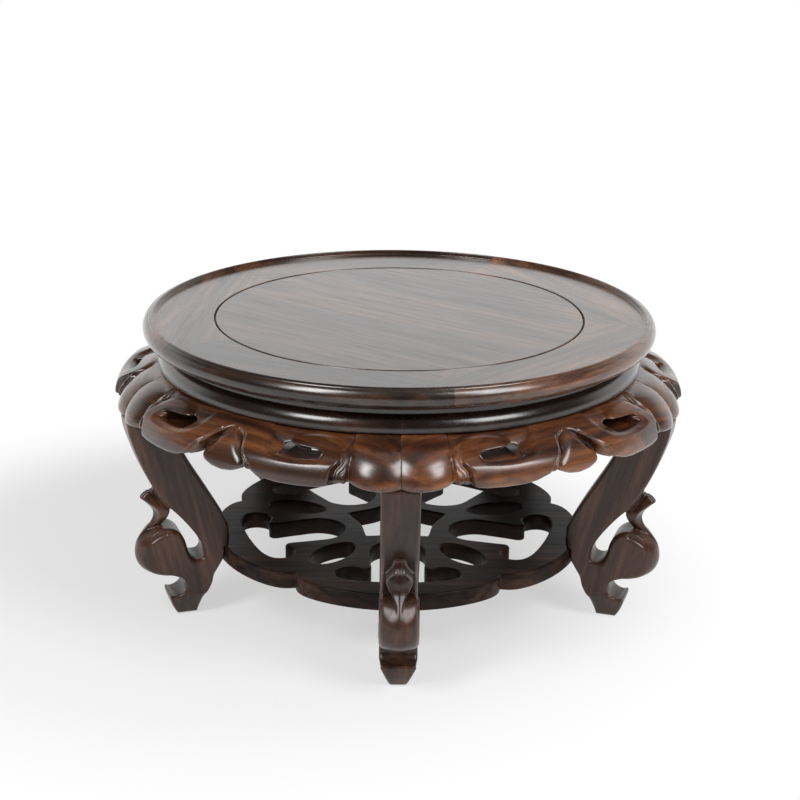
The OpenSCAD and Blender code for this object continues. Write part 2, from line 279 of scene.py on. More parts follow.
def place(name, mesh, azimuth, material, node, tone=1.0):
    """Puts a mesh that was drawn along +X at an azimuth counted from the front leg."""
    piece = bpy.data.objects.new(name, mesh)
    bpy.context.scene.collection.objects.link(piece)
    piece.rotation_euler.z = math.radians(azimuth - 90)
    piece.color = (*grey(tone), 1)
    if not mesh.materials:
        mesh.materials.append(material)
    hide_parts(node)
    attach(piece, "root")
    return piece


# Material nodes

def grey(value):
    """Colour with three equal parts."""
    return (value, value, value)


def node_at(tree, kind, **values):
    """New node of a kind, with its settings."""
    node = tree.nodes.new(kind)
    for key, value in values.items():
        setattr(node, key, value)
    return node


def noise(tree, vector, detail, roughness=0.55, distortion=0.0):
    """Noise over coordinates that are already scaled."""
    node = node_at(tree, "ShaderNodeTexNoise")
    node.inputs["Scale"].default_value = 1.0
    node.inputs["Detail"].default_value = detail
    node.inputs["Roughness"].default_value = roughness
    node.inputs["Distortion"].default_value = distortion
    tree.links.new(vector, node.inputs["Vector"])
    return node.outputs["Fac"]


def ramp(tree, factor, stops):
    """Colour ramp through (position, colour) stops."""
    node = node_at(tree, "ShaderNodeValToRGB")
    elements = node.color_ramp.elements
    while len(elements) < len(stops):
        elements.new(1.0)
    for element, (position, colour) in zip(elements, stops):
        element.position = position
        element.color = (*colour, 1.0)
    tree.links.new(factor, node.inputs["Fac"])
    return node.outputs["Color"]


def stretched(tree, vector, scale):
    """Coordinates squeezed across the grain and drawn out along it."""
    node = node_at(tree, "ShaderNodeMapping")
    node.inputs["Scale"].default_value = scale
    tree.links.new(vector, node.inputs["Vector"])
    return node.outputs["Vector"]


def multiply(tree, a, b, factor=1.0):
    """Product of two colours, mixed in by a factor."""
    node = node_at(tree, "ShaderNodeMix", data_type="RGBA", blend_type="MULTIPLY")
    node.inputs["Factor"].default_value = factor
    tree.links.new(a, node.inputs["A"])
    tree.links.new(b, node.inputs["B"])
    return node.outputs["Result"]


def map_range(tree, value, low, high, start=0.0, end=1.0):
    """Smooth change from start to end while the value goes from low to high."""
    node = node_at(tree, "ShaderNodeMapRange", interpolation_type="SMOOTHSTEP")
    for key, number in (("From Min", low), ("From Max", high), ("To Min", start), ("To Max", end)):
        node.inputs[key].default_value = number
    tree.links.new(value, node.inputs["Value"])
    return node.outputs["Result"]


def calculate(tree, operation, a, b):
    """Math node on two sockets."""
    node = node_at(tree, "ShaderNodeMath", operation=operation)
    for socket, value in zip(node.inputs, (a, b)):
        tree.links.new(value, socket)
    return node.outputs[0]


# Wood

STREAK_SCALE = (420, 420, 26)
STREAK_STOPS = [(0.36, grey(0.52)), (0.5, grey(0.95)), (0.64, grey(1.28))]
PORE_SCALE = (2400, 2400, 150)
PORE_STOPS = [(0.3, grey(0.45)), (0.42, grey(1.0))]
FIGURE_STOPS = (0.34, 0.5, 0.66)
DULLEST = 0.08
BRIGHTEST = -0.05
STREAK_RELIEF = 0.35
BUMP_STRENGTH = 0.08
BUMP_DISTANCE = 0.00012
LACQUER_IOR = 1.5


def grain_space(tree, piece, angles):
    """Coordinates whose Z runs along the grain, with a place of their own for each piece."""
    where = node_at(tree, "ShaderNodeTexCoord")
    apart = node_at(tree, "ShaderNodeVectorMath", operation="ADD")
    tree.links.new(where.outputs["Object"], apart.inputs[0])
    tree.links.new(piece.outputs["Random"], apart.inputs[1])
    turned = node_at(tree, "ShaderNodeMapping")
    turned.inputs["Rotation"].default_value = [math.radians(a) for a in angles]
    tree.links.new(apart.outputs["Vector"], turned.inputs["Vector"])
    return turned.outputs["Vector"]


def hardwood(name, dark, middle, light, angles, gloss, coat, specular=0.5, bands=(70, 70, 9), polish=0.2):
    """Polished hardwood. A piece's object colour sets how light it is."""
    material = bpy.data.materials.new(name)
    material.use_nodes = True
    tree = material.node_tree
    shader = tree.nodes["Principled BSDF"]
    piece = node_at(tree, "ShaderNodeObjectInfo")
    vector = grain_space(tree, piece, angles)
    figure = noise(tree, stretched(tree, vector, bands), detail=3, distortion=0.8)
    streaks = noise(tree, stretched(tree, vector, STREAK_SCALE), detail=5, roughness=0.65)
    pores = noise(tree, stretched(tree, vector, PORE_SCALE), detail=2)

    tone = ramp(tree, figure, list(zip(FIGURE_STOPS, (dark, middle, light))))
    streak_tone = ramp(tree, streaks, STREAK_STOPS)
    pore_tone = ramp(tree, pores, PORE_STOPS)
    colour = multiply(tree, multiply(tree, tone, streak_tone), pore_tone)
    colour = multiply(tree, colour, piece.outputs["Color"])
    tree.links.new(colour, shader.inputs["Base Color"])
    sheen = ramp(tree, streaks, [(0.3, grey(gloss + DULLEST)), (0.7, grey(gloss + BRIGHTEST))])
    tree.links.new(sheen, shader.inputs["Roughness"])

    bump = node_at(tree, "ShaderNodeBump")
    bump.inputs["Strength"].default_value = BUMP_STRENGTH
    bump.inputs["Distance"].default_value = BUMP_DISTANCE
    tree.links.new(multiply(tree, pore_tone, streak_tone, STREAK_RELIEF), bump.inputs["Height"])
    tree.links.new(bump.outputs["Normal"], shader.inputs["Normal"])
    shader.inputs["IOR"].default_value = LACQUER_IOR
    shader.inputs["Specular IOR Level"].default_value = specular
    shader.inputs["Coat Weight"].default_value = coat
    shader.inputs["Coat Roughness"].default_value = polish
    return material


PANEL_WOOD = hardwood("panel_wood", (0.018, 0.01, 0.008), (0.055, 0.03, 0.019), (0.15, 0.07, 0.034),
                      (90, -128, 0), gloss=0.3, coat=1.0, bands=(34, 34, 7))
FRAME_WOOD = hardwood("frame_wood", (0.014, 0.007, 0.006), (0.035, 0.017, 0.011), (0.085, 0.038, 0.02),
                      (90, 0, 0), gloss=0.26, coat=1.0, specular=0.35)
WAIST_WOOD = hardwood("waist_wood", (0.01, 0.005, 0.004), (0.022, 0.01, 0.007), (0.055, 0.022, 0.012),
                      (90, 0, 0), gloss=0.24, coat=1.0, specular=0.35)
APRON_WOOD = hardwood("apron_wood", (0.024, 0.008, 0.004), (0.068, 0.022, 0.009), (0.17, 0.058, 0.02),
                      (90, 0, 0), gloss=0.28, coat=1.0, specular=0.35, polish=0.25)
LEG_WOOD = hardwood("leg_wood", (0.024, 0.011, 0.008), (0.054, 0.023, 0.015), (0.105, 0.045, 0.027),
                    (0, -14, 0), gloss=0.3, coat=0.4, specular=0.25, polish=0.28)
TRAY_WOOD = hardwood("tray_wood", (0.011, 0.007, 0.006), (0.024, 0.013, 0.01), (0.06, 0.03, 0.02),
                     (90, 0, 0), gloss=0.36, coat=0.0, specular=0.12)


# Top and waist

# Start, end and number of the bead's points, which lie closer at the quirk
BEAD_SPANS = ((-115, 50, 26), (52, 68, 9), (71, 89, 6))
OVOLO_STEPS = 20
SECTOR_STEPS = 60
PANEL_STEPS = 192


def turned_sector(name, section):
    """Fifth of a ring turned from a closed section, centred on +X."""
    half = math.radians(HALF_PITCH)
    n = len(section)
    points, faces = [], []
    for a in np.linspace(-half, half, SECTOR_STEPS + 1):
        points += [(r * math.cos(a), r * math.sin(a), z) for r, z in section]
    for i in range(SECTOR_STEPS):
        for j in range(n):
            k = (j + 1) % n
            faces.append((i * n + j, i * n + k, (i + 1) * n + k, (i + 1) * n + j))
    last = SECTOR_STEPS * n
    faces.append(tuple(range(n - 1, -1, -1)))
    faces.append(tuple(range(last, last + n)))
    mesh = make_mesh(name, points, faces)
    for line in mesh.edges:
        line.use_edge_sharp = max(line.vertices) < n or min(line.vertices) >= last
    return mesh


def frame_section():
    """Section of the top frame, anticlockwise: underside, bead with its quirk, lip and flat."""
    bead_r = RIM_R - BEAD_R
    bead_z = Z_RIM_TOP - BEAD_R
    inner = PANEL_R + PANEL_GAP
    lip_r = RIM_R - LIP_W
    edge = LIP_EDGE
    angles = np.concatenate([np.linspace(*span) for span in BEAD_SPANS])
    radii = BEAD_R - groove(angles - QUIRK_ANGLE, QUIRK_SPREAD, QUIRK_DEPTH)
    bead = [(bead_r + r * math.cos(a), bead_z + r * math.sin(a)) for a, r in zip(np.radians(angles), radii)]
    return ([(inner, Z_FRAME), (bead_r - BEAD_R + BEAD_UNDERCUT, Z_FRAME)]
            + bead
            + arc(lip_r + edge, Z_RIM_TOP - edge, edge, 100, 180)
            + arc(lip_r - edge, Z_TOP + edge, edge, 0, -90)
            + [(lip_r - 2 * edge, Z_TOP), (inner + 2 * edge, Z_TOP)]
            + arc(inner + edge, Z_TOP - edge, edge, 90, 180))


def waist_section():
    """Section of the waist: broad round moulding below a recessed neck."""
    low = OVOLO_R * math.sin(math.radians(OVOLO_START))
    return ([(WAIST_IN_R, Z_WAIST), (MOULD_R - MOULD_EASE, Z_WAIST)]
            + arc(MOULD_R - OVOLO_R, Z_WAIST - low, OVOLO_R, OVOLO_START, OVOLO_END, OVOLO_STEPS)
            + [(NECK_R, Z_NECK + NECK_EASE), (NECK_R, Z_NECK + NECK_SUPPORT),
               (NECK_R, Z_FRAME - NECK_EASE), (NECK_R + NECK_FLARE, Z_FRAME), (WAIST_IN_R, Z_FRAME)])


def panel_mesh():
    """Floating centre panel with an eased edge."""
    edge = PANEL_EDGE
    steps = PANEL_STEPS
    section = [(PANEL_R, Z_PANEL)] + arc(PANEL_R - edge, Z_TOP - edge, edge, 0, 90)
    turns = np.linspace(0, 2 * math.pi, steps, False)
    points, faces = [], []
    for r, z in section:
        points += [(r * math.cos(a), r * math.sin(a), z) for a in turns]
    for j in range(len(section) - 1):
        for i in range(steps):
            k = (i + 1) % steps
            faces.append((j * steps + i, j * steps + k, (j + 1) * steps + k, (j + 1) * steps + i))
    last = (len(section) - 1) * steps
    faces.append(tuple(range(last, last + steps)))
    faces.append(tuple(range(steps - 1, -1, -1)))
    mesh = make_mesh("centre_panel_top", points, faces)
    mesh.polygons[-1].use_smooth = False
    mesh.polygons[-2].use_smooth = False
    return mesh


# Aprons: the front is a map of radius over the arc from the mitre and the height

ARC_R = 130.0
APRON_STEP = 0.33
APRON_SHARE = 0.3
APRON_LOW = 95.4
BACK_MARGIN = 2.4
FRONT_MARGIN = 2
MITRE_GAP = 0.08
KNEE_LOBE_R = 21.0
KNEE_LOBE_CREST = 9.4
KNEE_LOBE_RISE = 0.8
KNEE_LOBE_END = 0.8
KNEE_DROP = 0.9
KNEE_SHOULDER = 2.4
TUBE_RISE = 15.6
TUBE_FULLNESS = 2.4
TUBE_TURN = (107, 113)
TUBE_SET_BACK = 3.5
TUBE_BLEND = 2.0
TUBE_SHOULDER = 1.6
TUBE_SHOULDER_FULLNESS = 2.1
EYE_DROP = 3.6
EYE_DROP_DEPTHS = (4, 12)
EYE_MIDDLE = 110.2
HOLLOW_DEPTH = 2.6
HOLLOW_EDGE = 1.6
HOLLOW_HEIGHTS = (104, 108)
BUD_SET_BACK = 3.0
BUD_SHOULDER = 3.6
BAND_SET_BACK = 1.3
BAND_SHOULDER = 0.9
BLUR_CELLS = 0.8

# Fine lines beside the bud, which fan out downwards, and across the band
BUD_LINES = 4
BUD_LINE_W = 0.34
BUD_LINE_DEPTH = 0.8
BUD_LINE_START = 0.5
BUD_LINE_GAP = 0.55
BUD_LINE_FAN = 0.65
BUD_LINE_H = 11
BUD_FAN_TOP = 112.5
BUD_LINE_TOP = 113
BAND_LINES = 3
BAND_LINE_W = 0.6
BAND_LINE_DEPTH = 0.55
BAND_LINE_START = 0.3
BAND_LINE_GAP = 1.4
SCROLL_FADE = (0.2, 0.8)
BAND_FADE = (0.0, 0.6)

# Round edges of the apron: back, lower edge, top, mitre and eye
BACK_ROUND = 1.0
LOWER_ROUND = 2.2
TOP_ROUND = 0.4
MITRE_ROUND = 0.1
EYE_ROUND = 0.6


def on_arc(points):
    """Points given as degrees from the leg and height, as arc length and height."""
    return [(math.radians(t) * ARC_R, z) for t, z in points]


SCROLL = on_arc(
    curve([(12.9, 99), (15.2, 95.6), (19, 95.2), (23, 95.3), (26, 96), (28.4, 98.8), (30, 101.4)])
    + curve([(30.6, 104.4), (31.4, 107), (32.6, 110.2), (34.1, 112.7), (36, 114.2)])
    + [(42, 114.2), (42, 126), (28.7, 126)]
    + curve([(28.5, 116), (28.3, 114.4), (27.8, 112.8), (27, 111.2), (25.6, 109.9), (23.2, 109),
             (20.5, 108.7), (18.2, 108.9), (16.4, 109.3), (15.3, 110), (16, 110.7), (17.7, 111.1),
             (20.2, 111.4), (22.2, 112)])
    + curve([(22.2, 112.1), (20.6, 113.6), (18.2, 114.5), (15.6, 114.6), (13.2, 113.8), (11.7, 112),
             (11.2, 109.8), (11.6, 108), (12.4, 106.2), (12.7, 104), (12.8, 101)]))
BUD = on_arc(ring_curve([(36, 113.8), (34.9, 112.2), (33.6, 110), (32.3, 106.6), (30.9, 103), (31.2, 98.8),
                         (33.6, 96), (36, 95.4), (38.4, 96), (40.8, 98.8), (41.1, 103), (39.7, 106.6),
                         (38.4, 110), (37.1, 112.2)], 3))
BAND = on_arc([(10, 97), (12.9, 97), (12.8, 104), (12.5, 106.2), (11.7, 108), (11.3, 109.8), (11.7, 112),
               (10.6, 112.4), (9.8, 110), (10, 106)])
KNEE = on_arc([(-9, 94)] + curve([(5, 94), (8, 95.6), (9.7, 98.4), (10.3, 101.6), (10.4, 104), (10.2, 107),
                                  (9.9, 110.2), (9.4, 113.6), (9, 126)]) + [(-9, 126)])
EYE = on_arc(ring_curve([(15.5, 110), (16.5, 109.5), (18.3, 109.1), (20.5, 108.9), (22.6, 109.1),
                         (23.8, 109.5), (24.3, 110.2), (23.8, 111), (22.4, 111.5), (20.4, 111.3),
                         (17.8, 110.9), (16.3, 110.6)], 3))
LOWER_EDGE = on_arc([(-9, 97.5), (3.5, 97.5), (7, 98.2), (9.6, 99.4), (10.8, 100.4), (12, 100.1),
                     (13.5, 99.1), (15.5, 98.4), (19, 98.2), (23, 98.3), (25.4, 99), (27, 100.2),
                     (28.7, 101.4), (30, 101.2), (31.4, 99.8), (33.6, 97.9), (36, 97.2)])


def bulge(z, reach, rise, fullness=2.0):
    """Radius of a quarter-round over the height; it is squarer where its fullness is above 2."""
    height = np.clip((z - LEG_H) / rise, 0, 1)
    return APRON_TOP_R + (reach - APRON_TOP_R) * (1 - height ** fullness) ** (1 / fullness)


def pillow(distance, width, fullness=2.3):
    """Rounded shoulder inside an outline, from 0 at its edge to 1."""
    f = np.clip(-distance / width, 0, 1)
    return (1 - (1 - f) ** fullness) ** (1 / fullness)


def tube_radius(z, outer, rise):
    """Radius of the scroll: a full tube below, set back at the hook above."""
    above = smoothstep(z, *TUBE_TURN)
    hook = blend_max(bulge(z, ENVELOPE_R, TUBE_RISE), outer - TUBE_SET_BACK, TUBE_BLEND)
    return hook * above + bulge(z, ENVELOPE_R, rise, TUBE_FULLNESS) * (1 - above)


def knee_radius(u, z, rise):
    """Radius of the knee, whose two lobes crest on either side of the mitre."""
    aside = np.clip(u - KNEE_LOBE_CREST, -KNEE_LOBE_R, KNEE_LOBE_END * KNEE_LOBE_R)
    lobe = KNEE_R + KNEE_LOBE_RISE - KNEE_LOBE_R + np.sqrt(KNEE_LOBE_R ** 2 - aside ** 2)
    return bulge(z, lobe, rise - KNEE_DROP)


def cut_lines(front, z, scroll, bud, band):
    """Carved front with the fine lines beside the bud and across the band."""
    on_scroll = smoothstep(-scroll, *SCROLL_FADE)
    below = smoothstep(BUD_LINE_TOP - z, 0, 1)
    gap = BUD_LINE_GAP + BUD_LINE_FAN * np.clip((BUD_FAN_TOP - z) / BUD_LINE_H, 0, 1)
    for k in range(1, BUD_LINES + 1):
        line = groove(bud - BUD_LINE_START - k * gap, BUD_LINE_W, BUD_LINE_DEPTH)
        front = front - line * on_scroll * below
    on_band = smoothstep(-band, *BAND_FADE)
    for k in range(BAND_LINES):
        line = groove(scroll - BAND_LINE_START - BAND_LINE_GAP * k, BAND_LINE_W, BAND_LINE_DEPTH)
        front = front - line * on_band
    return front


def carved_front(u, z):
    """Radius of the carved front over arc length u from the mitre and height z."""
    rise = Z_WAIST - LEG_H
    outer = bulge(z, ENVELOPE_R, rise)
    scroll, bud, band, knee = (polygon_distance(p, u, z) for p in (SCROLL, BUD, BAND, KNEE))
    ground = bulge(z, GROUND_R, rise)
    hollow = smoothstep(np.minimum(scroll, knee), 0, HOLLOW_EDGE) * smoothstep(z, *HOLLOW_HEIGHTS)
    ground = ground - HOLLOW_DEPTH * hollow
    front = ground + np.maximum.reduce([
        (tube_radius(z, outer, rise) - ground) * pillow(scroll, TUBE_SHOULDER, TUBE_SHOULDER_FULLNESS),
        (outer - BUD_SET_BACK - ground) * pillow(bud, BUD_SHOULDER),
        (outer - BAND_SET_BACK - ground) * pillow(band, BAND_SHOULDER),
        (knee_radius(u, z, rise) - ground) * pillow(knee, KNEE_SHOULDER),
    ])
    return cut_lines(soften(front, BLUR_CELLS), z, scroll, bud, band)


def eye_hole(distance, z, r):
    """Distance to the scroll's pierced pocket, whose floor drops behind the tube."""
    drop = EYE_DROP * smoothstep(ENVELOPE_R - r, *EYE_DROP_DEPTHS)
    shown = z[:, None] + np.clip(EYE_MIDDLE - z[:, None], 0, drop[None, :])
    cell = (shown - z[0]) / (z[1] - z[0])
    low = np.minimum(cell.astype(int), len(z) - 2)
    part = cell - low
    return distance[:, low] * (1 - part) + distance[:, low + 1] * part


def apron_field(arc_u, z, r):
    """Field of half an apron over the arc length from its mitre, the height and the radius."""
    u_map, z_map = np.meshgrid(arc_u, z, indexing="ij")
    front = carved_front(u_map, z_map)
    slope_u, slope_z = np.gradient(front, APRON_STEP)
    steepness = np.sqrt(1 + slope_u ** 2 + slope_z ** 2)
    lower = np.interp(arc_u, *np.array(LOWER_EDGE).T)
    back = WAIST_IN_R + (APRON_BACK_R - WAIST_IN_R) * (Z_WAIST - z) / (Z_WAIST - LEG_H)
    depth = front[:, :, None] - r[None, None, :]
    field = -depth / steepness[:, :, None]
    field = blend_max(field, back[None, :, None] - r[None, None, :], BACK_ROUND)
    field = blend_max(field, (lower[:, None] - z[None, :])[:, :, None], LOWER_ROUND)
    field = blend_max(field, (z - Z_WAIST)[None, :, None], TOP_ROUND)
    field = blend_max(field, (-MITRE_GAP - arc_u)[:, None, None], MITRE_ROUND)
    return blend_max(field, -eye_hole(polygon_distance(EYE, u_map, z_map), z, r), EYE_ROUND)


def apron_mesh():
    """One apron from mitre to mitre, about +X."""
    step = APRON_STEP
    half = math.radians(HALF_PITCH) * ARC_R
    middle = (np.arange(int(half / step) + 4) + 0.5) * step
    z = np.arange(APRON_LOW, Z_WAIST + 3 * step, step)
    r = np.arange(WAIST_IN_R - BACK_MARGIN, ENVELOPE_R + FRONT_MARGIN, step)
    field = apron_field(half - middle, z, r)
    both = np.concatenate([field[::-1], field])
    points, quads = surface_net(both, (-middle[-1], z[0], r[0]), step)
    angle = points[:, 0] / ARC_R
    points = np.stack([points[:, 2] * np.cos(angle), points[:, 2] * np.sin(angle), points[:, 1]], axis=1)
    return thinned(make_mesh("apron_carving", points, quads), APRON_SHARE)


# Legs: outlines in radius and height, made solid across the leg

LEG_STEP = 0.45
LEG_SHARE = 0.35
LEG_R = (82, 132.5)
LEG_Z = (-1.0, LEG_H + 1.5)
HOUSING_GAP = 0.1
BULB_JOIN = 1.2
LEAF_JOIN = 0.7
LEG_TOP_ROUND = 0.3
SOLE_ROUND = 0.5
HOLLOW_ROUND = 0.5
STEM_ROUND = 1.3
STEM_KNEE_ROUND = 0.7
STEM_KNEE_HEIGHTS = (50, 60)
STEM_INNER = [(99.6, 0), (99.1, 2.6), (98.2, 5.8), (97, 9), (94.8, 11.8), (93, 15.5), (92, 19.5),
              (89.6, 23.5), (87, 28), (85.2, 33), (84.4, 38), (84.8, 43), (86.8, 48.5), (91, 56.5),
              (95.6, 64.5), (100.3, 72.5), (104.6, 80.5), (108.3, 89), (111.5, 98)]
STEM_OUTER = [(130.6, 98), (129.6, 91), (125.6, 79), (121.8, 70), (117.6, 62), (113.6, 56.4), (108.6, 51.2),
              (104.6, 46.4), (101.2, 41.8), (98.4, 37.2), (96.4, 33), (96, 30.2), (97.4, 28.2), (100, 27.8),
              (103, 28), (106.4, 24), (107.2, 19.8), (105.6, 17.8), (105.2, 15.4), (105.8, 12.8),
              (107.8, 11.1), (110.6, 10.4), (112.4, 10.9)]
TOE = [(113, 9.8), (112.4, 7.4), (111, 3.8), (108.8, 0)]
STEM = curve(STEM_INNER) + curve(STEM_OUTER) + curve(TOE, 3)

LEAF = (curve([(115.6, 66), (119, 62.6), (122.4, 60.8), (124.6, 58.6)])
        + curve([(122, 56), (119.6, 53.4), (118.5, 50.4), (119.6, 46.8), (122.6, 43.2), (125.4, 39.4),
                 (126.6, 36.5)])
        + curve([(115.4, 40), (116, 45), (114.6, 49.6), (113.6, 54), (113.4, 59)]))
LEAF_HALF_WIDTHS = [(38, 0.8), (42, 1.4), (44, 2.0), (46, 3.0), (48, 4.4), (50, 5.4), (52, 5.9), (54, 5.6),
                    (56, 4.6), (58, 3.4), (60, 2.6), (64, 1.6)]
LEAF_ROUND = 0.8
LEAF_FACET = 0.4
LEAF_FORK = 1.2
LEAF_FORK_HEIGHTS = (57, 60)
LEAF_LINES = (1.0, 2.2)
LEAF_LINE_W = 0.35
LEAF_LINE_DEPTH = 0.45
LEAF_LINE_HEIGHTS = (53, 55)
LEAF_CUP = (120.8, 64.4)
LEAF_CUP_R = 2.8

BULB = ring_curve([(100, 25), (102.8, 29.6), (104.2, 33.4), (105.3, 37.8), (107.4, 41.6), (110.6, 43.8),
                   (115, 44.6), (119.6, 44), (123.6, 41.8), (126.2, 37.8), (127.4, 33), (127.2, 29),
                   (125.6, 25.4), (122.4, 22.8), (117.4, 21.5), (112, 20.9), (107.6, 19.6), (103, 20)])
BULB_ROUND = 2.2
BULB_FRONT = (108, 122)
BULB_SWELL = 0.06
RIDGE_SLOPE = 0.42
RIDGE_HEIGHTS = (36, 42)
CRESCENT = curve([(114.6, 43.2), (118.4, 41.9), (122.4, 39.2), (124.8, 36)])
CRESCENT_R = 1.9
CRESCENT_OUT = 0.6

# Fine map on which distances to the leg's outlines are looked up
MAP_STEP = 0.25
MAP_R = (80, 145)
MAP_Z = (-3, 104)


def rounded_slab(outline_distance, across, half_width, radius):
    """Solid of an outline and a half width, with round edges."""
    a = outline_distance + radius
    b = across - half_width + radius
    return np.minimum(np.maximum(a, b), 0) + np.sqrt(np.maximum(a, 0) ** 2 + np.maximum(b, 0) ** 2) - radius


def outline_depth(outline, rr, zz):
    """Distance to an outline over three dimensions, looked up on a fine map."""
    r_line = np.arange(*MAP_R, MAP_STEP)
    z_line = np.arange(*MAP_Z, MAP_STEP)
    r_map, z_map = np.meshgrid(r_line, z_line, indexing="ij")
    depth = polygon_distance(outline, r_map, z_map)
    rr, zz = np.broadcast_arrays(rr, zz)
    a = np.clip((rr - r_line[0]) / MAP_STEP, 0, len(r_line) - 1.001)
    b = np.clip((zz - z_line[0]) / MAP_STEP, 0, len(z_line) - 1.001)
    i, j = a.astype(int), b.astype(int)
    f, g = a - i, b - j
    return ((1 - f) * (1 - g) * depth[i, j] + f * (1 - g) * depth[i + 1, j]
            + (1 - f) * g * depth[i, j + 1] + f * g * depth[i + 1, j + 1])


def stem_field(rr, yy, zz):
    """S-shaped stem and tapered foot, with rounder edges towards the knee."""
    knee = smoothstep(zz, *STEM_KNEE_HEIGHTS)
    half_width = LEG_W / 2 - (LEG_W - SOLE_W) / 2 * np.clip(1 - zz / FOOT_H, 0, 1)
    return rounded_slab(outline_depth(STEM, rr, zz), yy, half_width, STEM_ROUND + STEM_KNEE_ROUND * knee)


def bulb_field(rr, yy, zz):
    """Rolled scroll: round in front, with a ridge above and a hollow crescent on each side."""
    ridge = smoothstep(zz, *RIDGE_HEIGHTS)
    front = smoothstep(rr, *BULB_FRONT)
    swell = front * ((1 - ridge) * BULB_SWELL * yy ** 2 + ridge * RIDGE_SLOPE * yy)
    bulb = rounded_slab(outline_depth(BULB, rr + swell, zz), yy, BULB_W / 2, BULB_ROUND)
    crescent = line_distance(CRESCENT, *np.broadcast_arrays(rr, zz))
    hollow = np.sqrt(crescent ** 2 + (yy - BULB_W / 2 - CRESCENT_OUT) ** 2) - CRESCENT_R
    return blend_max(bulb, -hollow, HOLLOW_ROUND)


def leaf_field(rr, yy, zz):
    """Pointed leaf with two facets, a cup in its top and lines where it springs from the stem."""
    fork = LEAF_FORK * smoothstep(zz, *LEAF_FORK_HEIGHTS)
    half_width = np.interp(zz, *zip(*LEAF_HALF_WIDTHS))
    outline = outline_depth(LEAF, rr + LEAF_FACET * np.abs(yy - fork), zz)
    leaf = rounded_slab(outline, yy, half_width, LEAF_ROUND)
    stem = outline_depth(STEM, rr, zz)
    above = smoothstep(zz, *LEAF_LINE_HEIGHTS)
    for away in LEAF_LINES:
        leaf = leaf + groove(stem - away, LEAF_LINE_W, LEAF_LINE_DEPTH) * above
    cup = np.sqrt((rr - LEAF_CUP[0]) ** 2 + yy ** 2 + (zz - LEAF_CUP[1]) ** 2) - LEAF_CUP_R
    return blend_max(leaf, -cup, HOLLOW_ROUND)


def leg_mesh():
    """One leg along +X, with its leaf, bulb and foot."""
    step = LEG_STEP
    r = np.arange(*LEG_R, step)
    y = (np.arange(int(LEG_W / 2 / step) + 3) + 0.5) * step
    z = np.arange(*LEG_Z, step)
    rr, yy, zz = r[:, None, None], y[None, :, None], z[None, None, :]

    field = blend_min(stem_field(rr, yy, zz), bulb_field(rr, yy, zz), BULB_JOIN)
    field = blend_min(field, leaf_field(rr, yy, zz), LEAF_JOIN)
    slot = np.maximum(Z_TRAY - HOUSING_GAP - zz, zz - Z_TRAY_TOP - HOUSING_GAP)
    housing = np.maximum(rr - TRAY_R, slot)
    field = np.maximum(field, -housing)
    field = blend_max(field, zz - LEG_H, LEG_TOP_ROUND)
    field = blend_max(field, -zz, SOLE_ROUND)
    both = np.concatenate([field[:, ::-1], field], axis=1)
    points, quads = surface_net(both, (r[0], -y[-1], z[0]), step)
    return thinned(make_mesh("leg_carving", points, quads), LEG_SHARE)


# Tray: halves of its holes, mirrored across the hole's own axis

SIDE_HOLE = [(26.3, 0), (28, 5.5), (31.6, 10), (37, 12.6), (45, 12.6), (52, 12.3), (56.4, 12), (58.6, 12.8),
             (59.6, 14.8), (58.8, 17), (57.4, 19.2), (57.2, 22), (58.8, 25.4), (62, 27.8), (65.6, 28),
             (69, 25.8), (71.6, 19.5), (72.8, 10), (73.2, 0)]
LEAF_HOLE = [(36.4, 0), (37.6, 2.6), (41, 5.2), (47, 7.1), (53, 7.4), (59, 6.2), (63.4, 3.6), (65, 0)]
CENTRE_R = 18.0
CENTRE_POINT_R = 24.5
TRAY_FALL = 4.0
NOTCH_DEPTH = 5.0
NOTCH_POWER = 12
NOTCH_AZ = 30
TRAY_EDGE = 0.8
TRAY_EDGE_STEPS = 5
LEVEL_FACE = 0.999


def both_halves(line):
    """Closed outline of a half outline and its mirror image."""
    return line + [(x, -y) for x, y in line[-2:0:-1]]


def turn(points, degrees):
    """Points turned about the stand's axis."""
    c, s = math.cos(math.radians(degrees)), math.sin(math.radians(degrees))
    return [(c * x - s * y, s * x + c * y) for x, y in points]


def signed_area(loop):
    """Area of a loop, positive where it runs anticlockwise."""
    p = np.array(loop)
    q = np.roll(p, -1, axis=0)
    return 0.5 * float(np.sum(p[:, 0] * q[:, 1] - q[:, 0] * p[:, 1]))


def tray_loops():
    """Outer edge of the tray, anticlockwise, and its holes, clockwise."""
    outer, centre, holes = [], [], []
    sweep = np.concatenate([np.linspace(-HALF_PITCH, -NOTCH_AZ, 13)[:-1],
                            np.linspace(-NOTCH_AZ, NOTCH_AZ, 31),
                            np.linspace(NOTCH_AZ, HALF_PITCH, 13)[1:-1]])
    for k in range(SIDES):
        for a in sweep:
            f = a / HALF_PITCH
            r = TRAY_R - TRAY_FALL * f ** 2 - NOTCH_DEPTH * f ** NOTCH_POWER
            outer += turn([(r, 0)], a + k * PITCH)
        for a in np.linspace(-HALF_PITCH, HALF_PITCH, 19)[:-1]:
            r = CENTRE_R + (CENTRE_POINT_R - CENTRE_R) * (a / HALF_PITCH) ** 2
            centre += turn([(r, 0)], a + k * PITCH)
        holes.append(turn(both_halves(curve(SIDE_HOLE)), k * PITCH))
        holes.append(turn(both_halves(curve(LEAF_HOLE)), (k + 0.5) * PITCH))
    return [outer] + [loop[::-1] if signed_area(loop) > 0 else loop for loop in holes + [centre]]


def inset(loop, amount):
    """Closed loop drawn in by an amount."""
    p = np.array(loop)
    before = p - np.roll(p, 1, axis=0)
    after = np.roll(p, -1, axis=0) - p
    normals = []
    for a, b in zip(before, after):
        n = np.array([-(a[1] + b[1]), a[0] + b[0]])
        normals.append(n / max(np.hypot(*n), 1e-9))
    return p + amount * np.array(normals)


